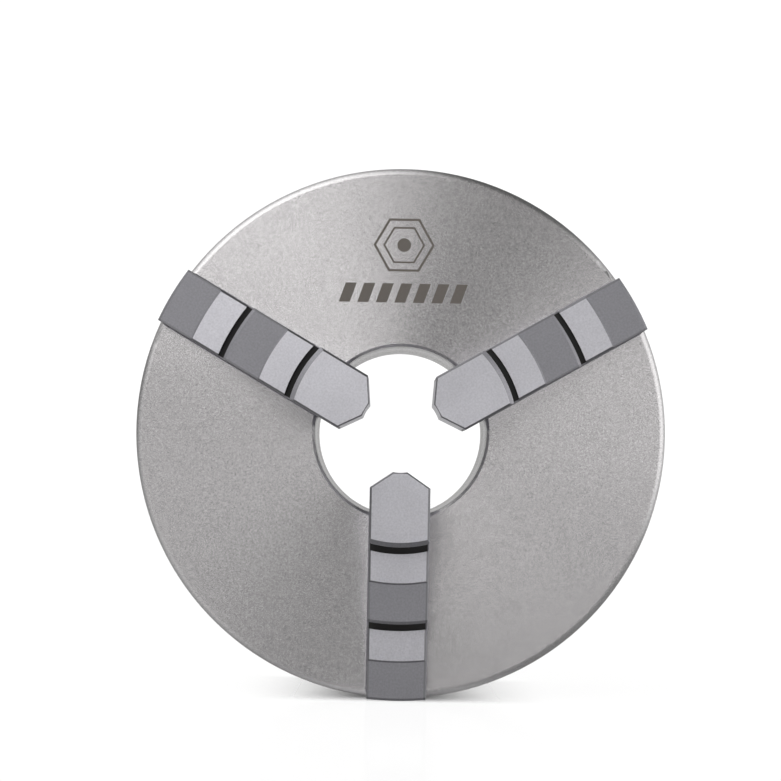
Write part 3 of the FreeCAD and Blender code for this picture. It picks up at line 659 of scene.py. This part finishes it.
def add_world(studio):
    """White for the camera. Reflections see three large soft panels and dim flags between them.

    A panel at angle t round the spindle axis is 1 where cos(direction's angle - t) is 1 and
    falls smoothly to 0 at its reach. Its gain applies away from straight ahead, and all the
    panels dim behind the chuck's face.
    """
    world = bpy.data.worlds.new("studio")
    w = NodeTree(world)
    x, y, z = w.split(w.term("ShaderNodeTexCoord", output="Generated"))
    around = ((x * x + z * z) ** 0.5).greatest(0.0001)

    def panel(angle, reach):
        level = (x * math.cos(angle) + z * math.sin(angle)) / around
        edge = math.cos(reach)
        return w.rise(level, (1.0 + edge) / 2, (1.0 - edge) / 2)

    # Each panel's angle, reach, brightness and gain.
    lights = ((122.0, 46.0, studio.key, -0.36), (13.0, 41.0, studio.side, 0.22),
              (200.0, 58.0, studio.fill, -0.30))
    beside = w.rise(y, -0.72, 0.22)
    panels = 0.0
    for angle, reach, strength, gain in lights:
        shape = panel(math.radians(angle), math.radians(reach))
        panels = shape * strength * (beside * gain + 1.0) + panels
    sides = panels * (1.0 - w.rise(y, -0.1, 0.26) * 0.62) + studio.flags
    centre = w.fall(around, 0.19, 0.13) * w.fall(y, 0.0, 0.1)
    behind = w.rise(y, 0.86, 0.12)
    level = sides * (1.0 - centre) * (1.0 - behind) + centre * studio.front + behind * studio.back
    light = w.term("ShaderNodeBackground", {}, {"Color": (1.0, 0.995, 0.985, 1.0), "Strength": level})
    white = w.term("ShaderNodeBackground", {}, {"Color": (1.0, 1.0, 1.0, 1.0), "Strength": 1.08})
    seen = w.term("ShaderNodeLightPath", output="Is Camera Ray")
    both = w.term("ShaderNodeMixShader", {}, {0: seen, 1: light, 2: white})
    w.node("ShaderNodeOutputWorld", {}, {"Surface": both})
    bpy.context.scene.world = world


def add_floor(studio):
    """A wide pale glossy floor that the rim stands on, thin enough to let the white through.

    It is solid and dimmer in a strip under the rim, a painted contact shadow.
    """
    half = 4.0
    square = np.array([[-half, -half], [half, -half], [half, half], [-half, half]])
    corners = np.column_stack([square, np.full(4, BODY_LOW.z - 0.02 * MM)])
    mesh = bpy.data.meshes.new("floor")
    mesh.from_pydata(corners.tolist(), [], [(0, 1, 2, 3)])
    floor = bpy.data.objects.new("floor", mesh)
    bpy.context.scene.collection.objects.link(floor)
    f = Finish("white_acrylic")
    clear = f.term("ShaderNodeBsdfTransparent")
    # Painted contact shadow: under the rim the floor is more solid and its glow darker.
    near = f.fall(abs(f.x), 36 * MM, 26 * MM) * f.within(f.y, FACE_Y - 7 * MM, REAR_Y, 8 * MM)
    surface = f.term("ShaderNodeBsdfPrincipled", {}, {
        "Base Color": (0.93, 0.93, 0.93, 1.0), "Roughness": 0.14,
        "Emission Color": f.mix(near, (1.0, 1.0, 1.0), (0.1, 0.1, 0.1)), "Emission Strength": 0.2})
    both = f.term("ShaderNodeMixShader", {}, {0: studio.floor + near * 0.7, 1: clear, 2: surface})
    f.node("ShaderNodeOutputMaterial", {}, {"Surface": both})
    mesh.materials.append(f.material)


# ------------------------------------------------------------------ operators
class CHUCK_OT_body(bpy.types.Operator):
    """Finish the chuck body: ground face with the plain etched mark, turned rim, milled slots"""

    bl_idname = "chuck.finish_body"
    bl_label = "Finish body"

    def execute(self, context):
        dress("chuck_body", body_finish(context.scene))
        return {"FINISHED"}


class CHUCK_OT_jaws(bpy.types.Operator):
    """Finish the three stepped jaws, each turned to its own slot"""

    bl_idname = "chuck.finish_jaws"
    bl_label = "Finish jaws"

    def execute(self, context):
        for number, angle in enumerate(JAW_ANGLES, 1):
            dress("jaw_%d" % number, jaw_finish(context.scene, number, angle))
        return {"FINISHED"}


class CHUCK_OT_drive(bpy.types.Operator):
    """Finish the scroll plate and the drive pinions"""

    bl_idname = "chuck.finish_drive"
    bl_label = "Finish drive"

    def execute(self, context):
        dress("scroll_plate", machined_finish(context.scene, "scroll_steel"))
        pinion = machined_finish(context.scene, "pinion_steel")
        for number in (1, 2, 3):
            dress("drive_pinion_%d" % number, pinion)
        return {"FINISHED"}


class CHUCK_OT_cover(bpy.types.Operator):
    """Finish the back cover"""

    bl_idname = "chuck.finish_cover"
    bl_label = "Finish cover"

    def execute(self, context):
        dress("back_cover", cover_finish(context.scene))
        return {"FINISHED"}


class CHUCK_OT_fasteners(bpy.types.Operator):
    """Finish the screws in black oxide and the dowels in ground steel"""

    bl_idname = "chuck.finish_fasteners"
    bl_label = "Finish fasteners"

    def execute(self, context):
        oxide = oxide_finish(context.scene)
        dowel = machined_finish(context.scene, "dowel_steel")
        for name in sorted(frame["nodes"]):
            if "screw" in name:
                dress(name, oxide)
            if "dowel" in name:
                dress(name, dowel)
        return {"FINISHED"}


class CHUCK_OT_threads(bpy.types.Operator):
    """Cut the threads of the mounting holes and of the cover's jacking holes"""

    bl_idname = "chuck.cut_threads"
    bl_label = "Cut threads"

    def execute(self, context):
        threads = context.scene.chuck_threads
        steel = machined_finish(context.scene, "thread_steel")
        dims = RECORD_MOUNTS["mounting_holes"]["dims"]
        for number, angle in enumerate(JAW_ANGLES, 1):
            centre = on_circle(dims["pcd_mm"] / 2 * MM, angle)
            piece = thread_sleeve("mounting_thread_%d" % number, centre, REAR_Y - threads.mounting_mouth,
                                  threads.mounting_depth, dims["hole_r_mm"] * MM,
                                  threads.mounting_pitch, threads.crest)
            self.fit(piece, steel, "body_iron")
            centre = on_circle(threads.jacking_circle, angle)
            piece = thread_sleeve("jacking_thread_%d" % number, centre, COVER_Y - threads.jacking_mouth,
                                  threads.jacking_depth, threads.jacking_radius,
                                  threads.jacking_pitch, threads.crest * 0.7)
            self.fit(piece, steel, "cover_iron")
        return {"FINISHED"}

    def fit(self, piece, material, slot):
        piece.data.materials.append(material)
        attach(piece, "housing")


class CHUCK_OT_stage(bpy.types.Operator):
    """Set up the white floor, the soft light and the camera"""

    bl_idname = "chuck.set_stage"
    bl_label = "Set stage"

    def execute(self, context):
        studio = context.scene.chuck_studio
        add_camera(studio)
        add_world(studio)
        add_floor(studio)
        context.scene.view_settings.view_transform = "Standard"
        return {"FINISHED"}


class CHUCK_PT_panel(bpy.types.Panel):
    """Lists the chuck's finishes and sizes"""

    bl_label = "Scroll chuck"
    bl_idname = "CHUCK_PT_panel"
    bl_space_type = "VIEW_3D"
    bl_region_type = "UI"
    bl_category = "Chuck"

    def draw(self, context):
        for operator in OPERATORS:
            self.layout.operator(operator.bl_idname)
        for name in PROPERTY_GROUPS:
            group = getattr(context.scene, name)
            box = self.layout.box()
            for key in group.__annotations__:
                box.prop(group, key)


PROPERTY_GROUPS = {
    "chuck_mark": ChuckMarkSizes,
    "chuck_zones": ChuckBodyZones,
    "chuck_steps": ChuckJawSteps,
    "chuck_colours": ChuckColours,
    "chuck_gloss": ChuckGloss,
    "chuck_threads": ChuckThreads,
    "chuck_studio": ChuckStudio,
}
OPERATORS = (CHUCK_OT_body, CHUCK_OT_jaws, CHUCK_OT_drive, CHUCK_OT_cover, CHUCK_OT_fasteners,
             CHUCK_OT_threads, CHUCK_OT_stage)


def register():
    for name, group in PROPERTY_GROUPS.items():
        bpy.utils.register_class(group)
        setattr(bpy.types.Scene, name, bpy.props.PointerProperty(type=group))
    for kind in (*OPERATORS, CHUCK_PT_panel):
        bpy.utils.register_class(kind)


def unregister():
    for kind in (CHUCK_PT_panel, *reversed(OPERATORS)):
        bpy.utils.unregister_class(kind)
    for name, group in PROPERTY_GROUPS.items():
        delattr(bpy.types.Scene, name)
        bpy.utils.unregister_class(group)


def main():
    register()
    for operator in OPERATORS:
        section, action = operator.bl_idname.split(".")
        getattr(getattr(bpy.ops, section), action)()


if __name__ == "__main__":
    main()
